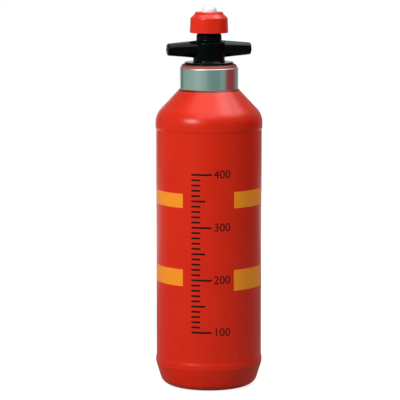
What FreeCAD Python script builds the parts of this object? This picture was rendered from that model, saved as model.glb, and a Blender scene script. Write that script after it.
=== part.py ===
"""Half-litre camping fuel bottle with a screw-in pouring valve, a push button and a locking knob.

Millimetres, +Z up, origin on the bottle's axis in the plane that it stands on. The spout arms lie along X.
"""
import FreeCAD
import Part
import Sketcher
import math
import os

SHEET = "Sizes"

# How near a point must lie to a face to count as on it, in millimetres, and how many of an edge are tried.
ON_FACE = 0.01
EDGE_POINTS = 7

# Points tried on each quarter turn of the spring's wire when the gap between its turns is measured.
SPRING_POINTS = 40

# Driving dimensions, in millimetres, degrees or turns.
SIZES = {
    # Bottle shell
    "body_radius": 33.25,
    "wall": 1.6,
    "push_up_radius": 13.0,
    "push_up_height": 2.6,
    "push_up_round": 3.0,
    "foot_radius": 28.9,
    "foot_ring_width": 8.4,
    "heel_round": 6.5,
    "base_height": 14.2,
    "lower_rim_width": 2.8,
    "panel_inset": 0.4,
    "panel_step": 1.5,
    "panel_length": 142.0,
    "upper_rim_width": 7.7,
    "rim_round": 1.2,
    "panel_round": 0.6,
    "shoulder_round": 12.0,
    "cone_angle": 46.8,
    "neck_radius": 17.25,
    "lip_rise": 1.9,
    "lip_chamfer": 0.9,
    "lip_round": 0.5,
    "mouth_recess_radius": 14.2,
    "mouth_recess_depth": 2.0,
    "throat_round": 2.5,
    # Neck band
    "band_height": 13.3,
    "band_thickness": 0.8,
    "band_round": 0.6,
    "band_foot_round": 0.35,
    "band_gap": 0.05,
    "cone_ledge": 0.1,
    # Screw thread of the valve in the neck
    "cap_pitch": 5.0,
    "cap_ridge_root": 2.2,
    "cap_ridge_crest": 1.0,
    "cap_ridge_height": 1.1,
    "cap_thread_gap": 0.3,
    "neck_thread_drop": 10.3,
    "neck_thread_turns": 1.3,
    "plug_thread_turns": 1.5,
    "flank_gap": 0.15,
    # Valve body
    "plug_radius": 11.2,
    "plug_length": 14.2,
    "plug_wall": 1.8,
    "plug_chamfer": 0.5,
    "plug_pocket_roof": 2.0,
    "lip_gap": 0.2,
    "flange_radius": 15.15,
    "flange_thickness": 1.2,
    "flange_round": 0.45,
    "hub_radius": 9.8,
    "hub_height": 13.3,
    "hub_round": 0.6,
    "hub_foot_round": 1.0,
    "hub_slope_drop": 1.3,
    "valve_neck_radius": 7.85,
    "valve_neck_length": 5.0,
    "valve_neck_blend": 1.0,
    "valve_neck_taper": 2.2,
    "valve_neck_inset": 0.85,
    "arm_height": 7.9,
    "arm_reach": 26.5,
    "arm_root_radius": 5.2,
    "arm_tip_radius": 3.7,
    "arm_tip_round": 1.2,
    "arm_fillet": 0.6,
    "spout_radius": 2.3,
    "air_radius": 1.5,
    "passage_radius": 5.2,
    "passage_wall": 2.0,
    "seat_bead_height": 0.8,
    "seat_bead_width": 1.2,
    "seat_bead_slope": 0.3,
    "chamber_margin": 0.2,
    "web_thickness": 1.1,
    "spring_pocket_radius": 6.1,
    # Guide bush, gasket and O-ring
    "bush_length": 3.6,
    "bush_gap": 0.03,
    "o_ring_section_radius": 0.7,
    "o_ring_gap": 0.05,
    "face_gap": 0.05,
    "gasket_gap": 0.15,
    # Valve stem
    "stem_travel": 2.0,
    "stop_margin": 0.2,
    "seat_gap": 0.1,
    "foot_stud_radius": 2.7,
    "foot_stud_length": 3.0,
    "shank_radius": 2.3,
    "guide_radius": 2.8,
    "guide_gap": 0.1,
    "guide_tail": 1.0,
    "stem_core_radius": 3.4,
    "stem_flat": 2.9,
    "key_gap": 0.1,
    "button_radius": 4.75,
    "button_height": 3.7,
    "button_round": 2.2,
    # Thread of the knob on the stem
    "knob_pitch": 4.0,
    "knob_ridge_root": 1.4,
    "knob_ridge_crest": 0.7,
    "knob_ridge_height": 0.6,
    "knob_thread_gap": 0.25,
    "knob_thread_rise": 0.91,
    "knob_thread_turns": 0.9,
    "stem_thread_turns": 1.6,
    # Lock knob
    "knob_radius": 11.92,
    "knob_draft": 0.37,
    "knob_height": 12.85,
    "knob_side_height": 9.15,
    "knob_round": 1.1,
    "knob_crown_radius": 9.15,
    "knob_crown_height": 1.5,
    "knob_crown_blend": 0.6,
    "knob_top_radius": 8.45,
    "knob_top_round": 0.4,
    "knob_rim_round": 0.35,
    "knob_cavity_radius": 9.0,
    "skirt_overlap": 0.3,
    "button_recess": 0.5,
    "button_gap": 0.35,
    # Spring and washer
    "spring_length": 7.2,
    "spring_radius": 5.0,
    "spring_wire_radius": 0.45,
    "spring_turns": 4.5,
    "washer_inner_radius": 4.3,
    "washer_outer_radius": 5.85,
    "washer_thickness": 0.6,
    # Seal at the stem's lower end
    "disc_radius": 7.0,
    "disc_thickness": 2.0,
    "plate_radius": 6.2,
    "plate_thickness": 1.0,
    "screw_radius": 1.3,
    "screw_gap": 0.03,
    "screw_grip": 8.0,
    "screw_head_radius": 2.6,
    "screw_head_height": 1.7,
    "screw_head_round": 0.7,
    "screw_point_radius": 0.65,
    "screw_slot_width": 0.7,
    "screw_slot_depth": 0.8,
    # How deep a raised ridge is rooted in what carries it
    "ridge_root_depth": 0.25,
}


def size(alias):
    """Give the expression that reads one driving dimension."""
    return f"{SHEET}.{alias}"


def total(*terms):
    """Give the expression that adds the terms."""
    return "(" + " + ".join(terms) + ")"


def less(first, *terms):
    """Give the expression that takes the later terms from the first."""
    return "(" + " - ".join((first, *terms)) + ")"


def times(factor, term):
    """Give the expression of a plain number times a term."""
    return f"({factor} * {term})"


# Heights of the bottle, from the ground up.
CONE = f"({size('cone_angle')} * 1 deg)"
RIM_TOP = total(size("base_height"), size("lower_rim_width"))
PANEL_FOOT = total(RIM_TOP, size("panel_step"))
PANEL_HEAD = total(PANEL_FOOT, size("panel_length"))
UPPER_RIM = total(PANEL_HEAD, size("panel_step"))
SHOULDER = total(UPPER_RIM, size("upper_rim_width"))
BAND_INNER = total(size("neck_radius"), size("band_gap"))
BAND_OUTER = total(BAND_INNER, size("band_thickness"))
CONE_TOP_RADIUS = total(BAND_OUTER, size("cone_ledge"))
CONE_TOP = total(SHOULDER, f"({size('body_radius')} - {CONE_TOP_RADIUS}) * tan({CONE})")
LIP = total(CONE_TOP, size("band_height"), size("lip_rise"))
LEDGE = less(LIP, size("mouth_recess_depth"))

# Radii of the bottle's foot, panel and inside.
FOOT_INNER = less(size("foot_radius"), size("foot_ring_width"))
PANEL_RADIUS = less(size("body_radius"), size("panel_inset"))
INNER_RADIUS = less(PANEL_RADIUS, size("wall"))
CONE_INSET = f"({size('wall')} / sin({CONE}))"
MOUTH_RADIUS = total(size("plug_radius"), size("cap_ridge_height"), size("cap_thread_gap"))


def cone_inside(radius):
    """Give the height at which the shoulder's inner face has this radius."""
    return total(SHOULDER, f"({size('body_radius')} - {CONE_INSET} - {radius}) * tan({CONE})")


# Heights in the valve body, from the seat bead at the plug's lower end.
FLANGE = size("plug_length")
FLANGE_TOP = total(FLANGE, size("flange_thickness"))
HUB_TOP = total(FLANGE_TOP, size("hub_height"))
NECK_TOP = total(HUB_TOP, size("valve_neck_length"))
ARM_AXIS = total(FLANGE_TOP, size("arm_height"))
CHAMBER_TOP = total(ARM_AXIS, size("spout_radius"), size("chamber_margin"))
WEB_TOP = total(CHAMBER_TOP, size("web_thickness"))
BUSH_FLOOR = total(WEB_TOP, times(2, size("o_ring_section_radius")), times(2, size("o_ring_gap")))
BUSH_TOP = total(BUSH_FLOOR, size("bush_length"))
WASHER_FLOOR = total(BUSH_TOP, size("spring_length"))
KNOB_CEILING = total(WASHER_FLOOR, size("washer_thickness"), size("face_gap"))
KNOB_FLOOR = less(NECK_TOP, size("skirt_overlap"))
KNOB_TOP = total(KNOB_FLOOR, size("knob_height"))
RECESS_FLOOR = less(KNOB_TOP, size("button_recess"))
BUTTON_FLOOR = total(RECESS_FLOOR, size("face_gap"))
BUTTON_TOP = total(BUTTON_FLOOR, size("button_height"))
STEM_FLOOR = f"(0 - {size('seat_gap')})"
GUIDE_FLOOR = less(CHAMBER_TOP, size("guide_tail"))
FLATS_FLOOR = total(BUSH_FLOOR, size("stem_travel"), size("stop_margin"))
FLATS_TOP = total(BUSH_TOP, size("stem_travel"), size("stop_margin"))

# Radii in the valve.
O_RING_INNER = total(size("guide_radius"), size("o_ring_gap"))
O_RING_RADIUS = total(O_RING_INNER, size("o_ring_section_radius"))
O_RING_RECESS = total(O_RING_RADIUS, size("o_ring_section_radius"), size("o_ring_gap"))
PASSAGE_OUTER = total(size("passage_radius"), size("passage_wall"))
KNOB_BORE = total(size("stem_core_radius"), size("knob_ridge_height"), size("knob_thread_gap"))
SCREW_BORE = total(size("screw_radius"), size("screw_gap"))

# The valve body's place on the bottle, and with it the whole valve's.
VALVE_BASE = less(total(LIP, size("lip_gap")), size("plug_length"))


def ridge_offset(name, gap):
    """Give the height between meshing ridges whose loaded flanks lie the flank gap apart."""
    slope = f"({size(name + '_root')} - {size(name + '_crest')}) / 2 / {size(name + '_height')}"
    overlap = f"({size(name + '_root')} - {slope} * ({size(name + '_height')} + {size(gap)}))"
    return total(overlap, size("flank_gap"))


CAP_RIDGE_OFFSET = ridge_offset("cap_ridge", "cap_thread_gap")
KNOB_RIDGE_OFFSET = ridge_offset("knob_ridge", "knob_thread_gap")
NECK_THREAD_FOOT = less(LIP, size("neck_thread_drop"))
PLUG_THREAD_FOOT = less(NECK_THREAD_FOOT, CAP_RIDGE_OFFSET, VALVE_BASE)
KNOB_THREAD_FOOT = total(KNOB_CEILING, size("knob_thread_rise"))
STEM_THREAD_FOOT = less(total(KNOB_THREAD_FOOT, KNOB_RIDGE_OFFSET), size("knob_pitch"))


class Draft:
    """The document being drawn, with its sheet of sizes and the finished sub-parts."""

    def __init__(self, sizes):
        self.doc = FreeCAD.newDocument("FuelBottle")
        self.sheet = self.doc.addObject("Spreadsheet::Sheet", SHEET)
        for row, (alias, number) in enumerate(sizes.items(), start=1):
            self.sheet.set(f"A{row}", str(number))
            self.sheet.setAlias(f"A{row}", alias)
        self.doc.recompute()
        self.parts = []

    def value(self, expression):
        """Work out an expression from the sheet."""
        return float(self.sheet.evalExpression(expression))

    def place(self, part, label, height):
        """Name a sub-part and set it at its height on the axis."""
        part.Label = label
        part.setExpression("Placement.Base.z", height)
        self.parts.append(part)

    def body(self, label, height):
        """Start a body as a sub-part."""
        body = self.doc.addObject("PartDesign::Body", label.title().replace("_", ""))
        self.place(body, label, height)
        return body

    def sketch(self, body, name, plane="XZ_Plane"):
        """Start a sketch on one of a body's own origin planes."""
        sketch = body.newObject("Sketcher::SketchObject", f"{body.Name}{name}")
        origin_plane = next(item for item in body.Origin.OriginFeatures if item.Role == plane)
        sketch.AttachmentSupport = [(origin_plane, "")]
        sketch.MapMode = "FlatFace"
        return sketch

    def fix(self, sketch, geometry, point, across, up):
        """Hold a sketch point at the two coordinates that the expressions give."""
        for kind, axis, expression in (("DistanceX", -2, across), ("DistanceY", -1, up)):
            if expression == "0":
                sketch.addConstraint(Sketcher.Constraint("PointOnObject", geometry, point, axis))
            else:
                number = self.value(expression)
                rule = Sketcher.Constraint(kind, -1, 1, geometry, point, number)
                sketch.setExpression(f"Constraints[{sketch.addConstraint(rule)}]", expression)

    def outline(self, sketch, corners):
        """Draw a closed outline through corners (across, up), rounding each that also has a radius."""
        places = [FreeCAD.Vector(self.value(corner[0]), self.value(corner[1]), 0) for corner in corners]
        count = len(corners)
        starts = list(places)
        ends = list(places)
        arcs = {}
        for index, corner in enumerate(corners):
            if len(corner) == 3:
                rounding = CornerRound(places, index, self.value(corner[2]))
                arcs[index] = rounding
                ends[index] = rounding.first
                starts[index] = rounding.second
        lines = [
            sketch.addGeometry(Part.LineSegment(starts[index], ends[(index + 1) % count]), False)
            for index in range(count)
        ]
        for index, corner in enumerate(corners):
            before = lines[index - 1]
            after = lines[index]
            if index not in arcs:
                sketch.addConstraint(Sketcher.Constraint("Coincident", before, 2, after, 1))
                self.fix(sketch, after, 1, corner[0], corner[1])
                continue
            rounding = arcs[index]
            arc = sketch.addGeometry(rounding.arc, False)
            tip = sketch.addGeometry(Part.Point(places[index]), True)
            sketch.addConstraint([
                Sketcher.Constraint("Tangent", before, 2, arc, rounding.first_end),
                Sketcher.Constraint("Tangent", after, 1, arc, 3 - rounding.first_end),
                Sketcher.Constraint("PointOnObject", tip, 1, before),
                Sketcher.Constraint("PointOnObject", tip, 1, after),
            ])
            rule = sketch.addConstraint(Sketcher.Constraint("Radius", arc, rounding.radius))
            sketch.setExpression(f"Constraints[{rule}]", corner[2])
            self.fix(sketch, tip, 1, corner[0], corner[1])

    def turned(self, body, name, corners, kind="PartDesign::Revolution"):
        """Turn an outline about the body's own axis, adding to it or cutting from it."""
        sketch = self.sketch(body, name + "Outline")
        self.outline(sketch, corners)
        feature = body.newObject(kind, f"{body.Name}{name}")
        feature.Profile = sketch
        feature.ReferenceAxis = (sketch, ["V_Axis"])
        feature.Angle = 360
        return feature

    def turned_part(self, label, height, corners):
        """Make a sub-part that is one turned outline."""
        body = self.body(label, height)
        self.turned(body, "Form", corners)
        return body

    def ridge(self, body, name, carrier, crest, foot, pitch, turns, shape):
        """Wind a thread ridge on a face of radius carrier, from its foot up to its crest radius."""
        outward = self.value(crest) > self.value(carrier)
        depth = size("ridge_root_depth")
        root = less(carrier, depth) if outward else total(carrier, depth)
        root_half = times(0.5, size(shape + "_root"))
        crest_half = times(0.5, size(shape + "_crest"))
        sketch = self.sketch(body, name + "Outline")
        self.outline(sketch, [
            (root, less(foot, root_half)),
            (carrier, less(foot, root_half)),
            (crest, less(foot, crest_half)),
            (crest, total(foot, crest_half)),
            (carrier, total(foot, root_half)),
            (root, total(foot, root_half)),
        ])
        helix = body.newObject("PartDesign::AdditiveHelix", f"{body.Name}{name}")
        helix.Profile = sketch
        helix.ReferenceAxis = (sketch, ["V_Axis"])
        helix.Mode = "pitch-turns-angle"
        helix.setExpression("Pitch", pitch)
        helix.setExpression("Turns", turns)
        return helix


class CornerRound:
    """The arc that rounds one corner of an outline, and where it meets the two straight sides."""

    def __init__(self, places, index, radius):
        corner = places[index]
        back = (places[index - 1] - corner).normalize()
        on = (places[(index + 1) % len(places)] - corner).normalize()
        half = back.getAngle(on) / 2
        self.radius = radius
        self.first = corner + back * (radius / math.tan(half))
        self.second = corner + on * (radius / math.tan(half))
        centre = corner + (back + on).normalize() * (radius / math.sin(half))
        left_turn = back.cross(on).z < 0
        start, end = (self.first, self.second) if left_turn else (self.second, self.first)
        self.first_end = 1 if left_turn else 2
        angles = [math.atan2(point.y - centre.y, point.x - centre.x) for point in (start, end)]
        if angles[1] < angles[0]:
            angles[1] += 2 * math.pi
        self.arc = Part.ArcOfCircle(Part.Circle(centre, FreeCAD.Vector(0, 0, 1), radius), *angles)


def make_bottle_shell(draft):
    """The blow-moulded shell: push-up base, tapered foot, label panel, cone, and threaded neck."""
    lip_edge = less(size("neck_radius"), size("lip_chamfer"))
    floor = total(size("push_up_height"), size("wall"))
    shell = draft.body("bottle_shell", "0")
    draft.turned(shell, "Form", [
        ("0", size("push_up_height")),
        (size("push_up_radius"), size("push_up_height"), size("push_up_round")),
        (FOOT_INNER, "0", size("rim_round")),
        (size("foot_radius"), "0", size("heel_round")),
        (size("body_radius"), size("base_height"), size("rim_round")),
        (size("body_radius"), RIM_TOP, size("panel_round")),
        (PANEL_RADIUS, PANEL_FOOT, size("panel_round")),
        (PANEL_RADIUS, PANEL_HEAD, size("panel_round")),
        (size("body_radius"), UPPER_RIM, size("panel_round")),
        (size("body_radius"), SHOULDER, size("shoulder_round")),
        (CONE_TOP_RADIUS, CONE_TOP),
        (size("neck_radius"), CONE_TOP),
        (size("neck_radius"), less(LIP, size("lip_chamfer")), size("lip_round")),
        (lip_edge, LIP, size("lip_round")),
        (size("mouth_recess_radius"), LIP),
        (size("mouth_recess_radius"), LEDGE),
        (MOUTH_RADIUS, LEDGE),
        (MOUTH_RADIUS, cone_inside(MOUTH_RADIUS), size("throat_round")),
        (INNER_RADIUS, cone_inside(INNER_RADIUS), less(size("shoulder_round"), size("wall"))),
        (INNER_RADIUS, size("base_height"), size("rim_round")),
        (less(size("foot_radius"), size("wall")), size("wall"), less(size("heel_round"), size("wall"))),
        (FOOT_INNER, size("wall"), size("rim_round")),
        (size("push_up_radius"), floor, size("rim_round")),
        ("0", floor),
    ])
    draft.ridge(
        shell, "Thread", MOUTH_RADIUS, total(size("plug_radius"), size("cap_thread_gap")), NECK_THREAD_FOOT,
        size("cap_pitch"), size("neck_thread_turns"), "cap_ridge",
    )


def make_neck_band(draft):
    """The metal sleeve round the neck, its top edge rolled over."""
    draft.turned_part("neck_band", CONE_TOP, [
        (BAND_INNER, "0"),
        (BAND_OUTER, "0", size("band_foot_round")),
        (BAND_OUTER, size("band_height"), size("band_round")),
        (BAND_INNER, size("band_height")),
    ])


def make_cap_gasket(draft):
    """The rubber ring between the mouth's ledge and the flange, captive above the plug's thread."""
    thickness = less(total(size("mouth_recess_depth"), size("lip_gap")), times(2, size("face_gap")))
    inner = total(size("plug_radius"), size("gasket_gap"))
    outer = less(size("mouth_recess_radius"), size("gasket_gap"))
    draft.turned_part("cap_gasket", total(LEDGE, size("face_gap")), [
        (inner, "0"),
        (outer, "0"),
        (outer, thickness),
        (inner, thickness),
    ])


def fillet_arms(draft, body, bar):
    """Fillet the edges along which the tapered bar leaves the hub and neck."""
    draft.doc.recompute()
    axis = draft.value(ARM_AXIS)
    hub = draft.value(size("hub_radius"))
    root = draft.value(size("arm_root_radius"))
    slope = (root - draft.value(size("arm_tip_radius"))) / (draft.value(size("arm_reach")) - hub)

    def on_bar(point):
        off_bar = math.hypot(point.y, point.z - axis) - root - slope * (hub - abs(point.x))
        return abs(off_bar) < ON_FACE and math.hypot(point.x, point.y) < hub + ON_FACE

    names = []
    for number, edge in enumerate(bar.Shape.Edges, start=1):
        points = edge.discretize(Number=EDGE_POINTS)
        straight = edge.Length - (points[-1] - points[0]).Length < ON_FACE and len(edge.Vertexes) > 1
        if all(map(on_bar, points)) and not straight:
            names.append(f"Edge{number}")
    fillet = body.newObject("PartDesign::Fillet", "ValveBodyArmFillet")
    fillet.Base = (bar, names)
    fillet.setExpression("Radius", size("arm_fillet"))


def make_valve_body(draft):
    """The black moulding: threaded plug, flange, hub with two bored arms, and the neck under the knob."""
    bead = size("seat_bead_height")
    bead_inner = total(size("passage_radius"), size("seat_bead_slope"))
    bead_outer = total(bead_inner, size("seat_bead_width"))
    pocket_outer = less(size("plug_radius"), size("plug_wall"))
    pocket_roof = less(FLANGE, size("plug_pocket_roof"))
    body = draft.body("valve_body", VALVE_BASE)
    draft.turned(body, "Form", [
        ("0", bead),
        (bead_inner, bead),
        (total(bead_inner, size("seat_bead_slope")), "0"),
        (less(bead_outer, size("seat_bead_slope")), "0"),
        (bead_outer, bead),
        (PASSAGE_OUTER, bead),
        (PASSAGE_OUTER, pocket_roof),
        (pocket_outer, pocket_roof),
        (pocket_outer, bead),
        (less(size("plug_radius"), size("plug_chamfer")), bead),
        (size("plug_radius"), total(bead, size("plug_chamfer"))),
        (size("plug_radius"), FLANGE),
        (size("flange_radius"), FLANGE, size("flange_round")),
        (size("flange_radius"), FLANGE_TOP, size("flange_round")),
        (size("hub_radius"), FLANGE_TOP, size("hub_foot_round")),
        (size("hub_radius"), less(HUB_TOP, size("hub_slope_drop")), size("hub_round")),
        (size("valve_neck_radius"), HUB_TOP, size("valve_neck_blend")),
        (size("valve_neck_radius"), less(NECK_TOP, size("valve_neck_taper")), size("hub_round")),
        (less(size("valve_neck_radius"), size("valve_neck_inset")), NECK_TOP),
        ("0", NECK_TOP),
    ])

    # The two arms are one tapered bar through the hub, turned about its own axis.
    arms = draft.sketch(body, "ArmsOutline")
    arms.setExpression("AttachmentOffset.Base.y", ARM_AXIS)
    reach = size("arm_reach")
    slope = f"({size('arm_root_radius')} - {size('arm_tip_radius')}) / ({reach} - {size('hub_radius')})"
    draft.outline(arms, [
        (f"(0 - {reach})", "0"),
        (f"(0 - {reach})", size("arm_tip_radius"), size("arm_tip_round")),
        ("0", total(size("arm_root_radius"), f"{slope} * {size('hub_radius')}")),
        (reach, size("arm_tip_radius"), size("arm_tip_round")),
        (reach, "0"),
    ])
    bar = body.newObject("PartDesign::Revolution", "ValveBodyArms")
    bar.Profile = arms
    bar.ReferenceAxis = (arms, ["H_Axis"])
    bar.Angle = 360
    fillet_arms(draft, body, bar)

    draft.turned(body, "Inside", [
        ("0", "0"),
        (size("passage_radius"), "0"),
        (size("passage_radius"), CHAMBER_TOP),
        (total(size("guide_radius"), size("guide_gap")), CHAMBER_TOP),
        (total(size("guide_radius"), size("guide_gap")), WEB_TOP),
        (O_RING_RECESS, WEB_TOP),
        (O_RING_RECESS, BUSH_FLOOR),
        (size("spring_pocket_radius"), BUSH_FLOOR),
        (size("spring_pocket_radius"), NECK_TOP),
        ("0", NECK_TOP),
    ], "PartDesign::Groove")

    # The pouring bore opens at +X, the narrower air bore at -X.
    for name, end, radius in (
        ("Spout", reach, size("spout_radius")),
        ("AirBore", f"(0 - {reach})", size("air_radius")),
    ):
        sketch = draft.sketch(body, name + "Outline")
        sketch.setExpression("AttachmentOffset.Base.y", ARM_AXIS)
        draft.outline(sketch, [("0", "0"), (end, "0"), (end, radius), ("0", radius)])
        bore = body.newObject("PartDesign::Groove", f"ValveBody{name}")
        bore.Profile = sketch
        bore.ReferenceAxis = (sketch, ["H_Axis"])
        bore.Angle = 360

    draft.ridge(
        body, "Thread", size("plug_radius"), total(size("plug_radius"), size("cap_ridge_height")),
        PLUG_THREAD_FOOT, size("cap_pitch"), size("plug_thread_turns"), "cap_ridge",
    )


def make_stem_o_ring(draft):
    """The ring that seals the stem, in its recess under the bush."""
    ring = draft.doc.addObject("Part::Torus", "StemORing")
    ring.setExpression("Radius1", O_RING_RADIUS)
    ring.setExpression("Radius2", size("o_ring_section_radius"))
    centre = total(WEB_TOP, size("o_ring_gap"), size("o_ring_section_radius"))
    draft.place(ring, "stem_o_ring", total(VALVE_BASE, centre))


def make_guide_bush(draft):
    """The bush over the O-ring, with a flat-sided hole that keeps the stem from turning."""
    ring = draft.doc.addObject("Part::Cylinder", "BushRing")
    ring.setExpression("Radius", less(size("spring_pocket_radius"), size("bush_gap")))
    ring.setExpression("Height", size("bush_length"))
    bore = draft.doc.addObject("Part::Cylinder", "BushBore")
    bore.setExpression("Radius", total(size("stem_core_radius"), size("key_gap")))
    bore.setExpression("Height", size("bush_length"))
    slab = draft.doc.addObject("Part::Box", "BushFlats")
    across = times(2, size("spring_pocket_radius"))
    between = times(2, total(size("stem_flat"), size("key_gap")))
    slab.setExpression("Length", across)
    slab.setExpression("Width", between)
    slab.setExpression("Height", size("bush_length"))
    slab.setExpression("Placement.Base.x", times(-0.5, across))
    slab.setExpression("Placement.Base.y", times(-0.5, between))
    hole = draft.doc.addObject("Part::Common", "BushHole")
    hole.Base = bore
    hole.Tool = slab
    bush = draft.doc.addObject("Part::Cut", "GuideBush")
    bush.Base = ring
    bush.Tool = hole
    draft.place(bush, "guide_bush", total(VALVE_BASE, BUSH_FLOOR))


def make_valve_stem(draft):
    """The white rod, bored for the screw below, flat-sided in the bush, threaded for the knob."""

    def along(height):
        return less(height, STEM_FLOOR)

    stem = draft.body("valve_stem", total(VALVE_BASE, STEM_FLOOR))
    draft.turned(stem, "Form", [
        ("0", size("screw_grip")),
        (SCREW_BORE, size("screw_grip")),
        (SCREW_BORE, "0"),
        (size("foot_stud_radius"), "0"),
        (size("foot_stud_radius"), size("foot_stud_length")),
        (size("shank_radius"), size("foot_stud_length")),
        (size("shank_radius"), along(GUIDE_FLOOR)),
        (size("guide_radius"), along(GUIDE_FLOOR)),
        (size("guide_radius"), along(FLATS_FLOOR)),
        (size("stem_core_radius"), along(FLATS_FLOOR)),
        (size("stem_core_radius"), along(BUTTON_FLOOR)),
        (size("button_radius"), along(BUTTON_FLOOR)),
        (size("button_radius"), along(BUTTON_TOP), size("button_round")),
        ("0", along(BUTTON_TOP)),
    ])
    core = size("stem_core_radius")
    draft.ridge(
        stem, "Thread", core, total(core, size("knob_ridge_height")), along(STEM_THREAD_FOOT),
        size("knob_pitch"), size("stem_thread_turns"), "knob_ridge",
    )
    flats = draft.sketch(stem, "FlatsOutline", "XY_Plane")
    flats.setExpression("AttachmentOffset.Base.z", along(FLATS_FLOOR))
    edge = size("button_radius")
    for side in (1, -1):
        draft.outline(flats, [
            (times(-side, edge), times(side, size("stem_flat"))),
            (times(side, edge), times(side, size("stem_flat"))),
            (times(side, edge), times(side, edge)),
            (times(-side, edge), times(side, edge)),
        ])
    cut = stem.newObject("PartDesign::Pocket", "ValveStemFlats")
    cut.Profile = flats
    cut.Reversed = True
    cut.setExpression("Length", less(FLATS_TOP, FLATS_FLOOR))


def make_seal(draft):
    """The rubber disc that shuts the passage, the plate under it and the screw that holds both."""
    disc_floor = less(STEM_FLOOR, size("disc_thickness"))
    plate_floor = less(disc_floor, size("plate_thickness"))
    head_floor = less(plate_floor, size("screw_head_height"))
    for label, floor, radius, thickness in (
        ("seal_disc", disc_floor, size("disc_radius"), size("disc_thickness")),
        ("seal_plate", plate_floor, size("plate_radius"), size("plate_thickness")),
    ):
        draft.turned_part(label, total(VALVE_BASE, floor), [
            (SCREW_BORE, "0"),
            (radius, "0"),
            (radius, thickness),
            (SCREW_BORE, thickness),
        ])
    head = size("screw_head_height")
    shank = total(head, size("plate_thickness"), size("disc_thickness"), size("screw_grip"))
    tip = less(shank, size("screw_radius"))
    screw = draft.body("seal_screw", total(VALVE_BASE, head_floor))
    draft.turned(screw, "Form", [
        ("0", "0"),
        (size("screw_head_radius"), "0", size("screw_head_round")),
        (size("screw_head_radius"), head),
        (size("screw_radius"), head),
        (size("screw_radius"), tip),
        (size("screw_point_radius"), less(shank, size("face_gap"))),
        ("0", less(shank, size("face_gap"))),
    ])
    slot = draft.sketch(screw, "SlotOutline", "XY_Plane")
    half = times(0.5, size("screw_slot_width"))
    edge = total(size("screw_head_radius"), size("screw_gap"))
    draft.outline(slot, [
        (times(-1, edge), times(-1, half)),
        (edge, times(-1, half)),
        (edge, half),
        (times(-1, edge), half),
    ])
    cut = screw.newObject("PartDesign::Pocket", "SealScrewSlot")
    cut.Profile = slot
    cut.Reversed = True
    cut.setExpression("Length", size("screw_slot_depth"))


def make_lock_knob(draft):
    """The red knob: skirt over the valve's neck, threaded web, and a shallow seat for the button."""

    def along(height):
        return less(height, KNOB_FLOOR)

    seat_radius = total(size("button_radius"), size("button_gap"))
    crown_foot = less(size("knob_height"), size("knob_crown_height"))
    knob = draft.body("lock_knob", total(VALVE_BASE, KNOB_FLOOR))
    draft.turned(knob, "Form", [
        (size("knob_cavity_radius"), "0", size("knob_rim_round")),
        (size("knob_radius"), "0", size("knob_rim_round")),
        (less(size("knob_radius"), size("knob_draft")), size("knob_side_height"), size("knob_round")),
        (size("knob_crown_radius"), crown_foot, size("knob_crown_blend")),
        (size("knob_top_radius"), size("knob_height"), size("knob_top_round")),
        (seat_radius, size("knob_height")),
        (seat_radius, along(RECESS_FLOOR)),
        (KNOB_BORE, along(RECESS_FLOOR)),
        (KNOB_BORE, along(KNOB_CEILING)),
        (size("knob_cavity_radius"), along(KNOB_CEILING), size("knob_round")),
    ])
    draft.ridge(
        knob, "Thread", KNOB_BORE, total(size("stem_core_radius"), size("knob_thread_gap")),
        along(KNOB_THREAD_FOOT), size("knob_pitch"), size("knob_thread_turns"), "knob_ridge",
    )


def make_spring_washer(draft):
    """The thin washer that lets the knob turn on the spring."""
    draft.turned_part("spring_washer", total(VALVE_BASE, WASHER_FLOOR), [
        (size("washer_inner_radius"), "0"),
        (size("washer_outer_radius"), "0"),
        (size("washer_outer_radius"), size("washer_thickness")),
        (size("washer_inner_radius"), size("washer_thickness")),
    ])


def helix_point(radius, pitch, foot, angle):
    """Give a point of a helix about Z and the direction in which the helix runs there."""
    rise = pitch / (2 * math.pi)
    place = FreeCAD.Vector(radius * math.cos(angle), radius * math.sin(angle), foot + rise * angle)
    heading = FreeCAD.Vector(-radius * math.sin(angle), radius * math.cos(angle), rise).normalize()
    return place, heading


def biarc(start, leaving, end, arriving):
    """Join two points by two arcs that meet the given directions and each other smoothly."""
    chord = end - start
    turn = leaving + arriving
    square = 2 * (1 - leaving.dot(arriving))
    along = chord.dot(turn)
    reach = (math.sqrt(along * along + square * chord.dot(chord)) - along) / square
    middle = (start + leaving * reach + end - arriving * reach) * 0.5
    edges = []
    for first, heading, last in ((start, leaving, middle), (end, arriving * -1, middle)):
        span = last - first
        normal = span - heading * span.dot(heading)
        radius = span.dot(span) / (2 * normal.Length)
        centre = first + normal.normalize() * radius
        halfway = centre + (first + last - centre * 2).normalize() * radius
        ends = (first, last) if first == start else (last, first)
        edges.append(Part.Arc(ends[0], halfway, ends[1]).toShape())
    return edges


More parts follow.
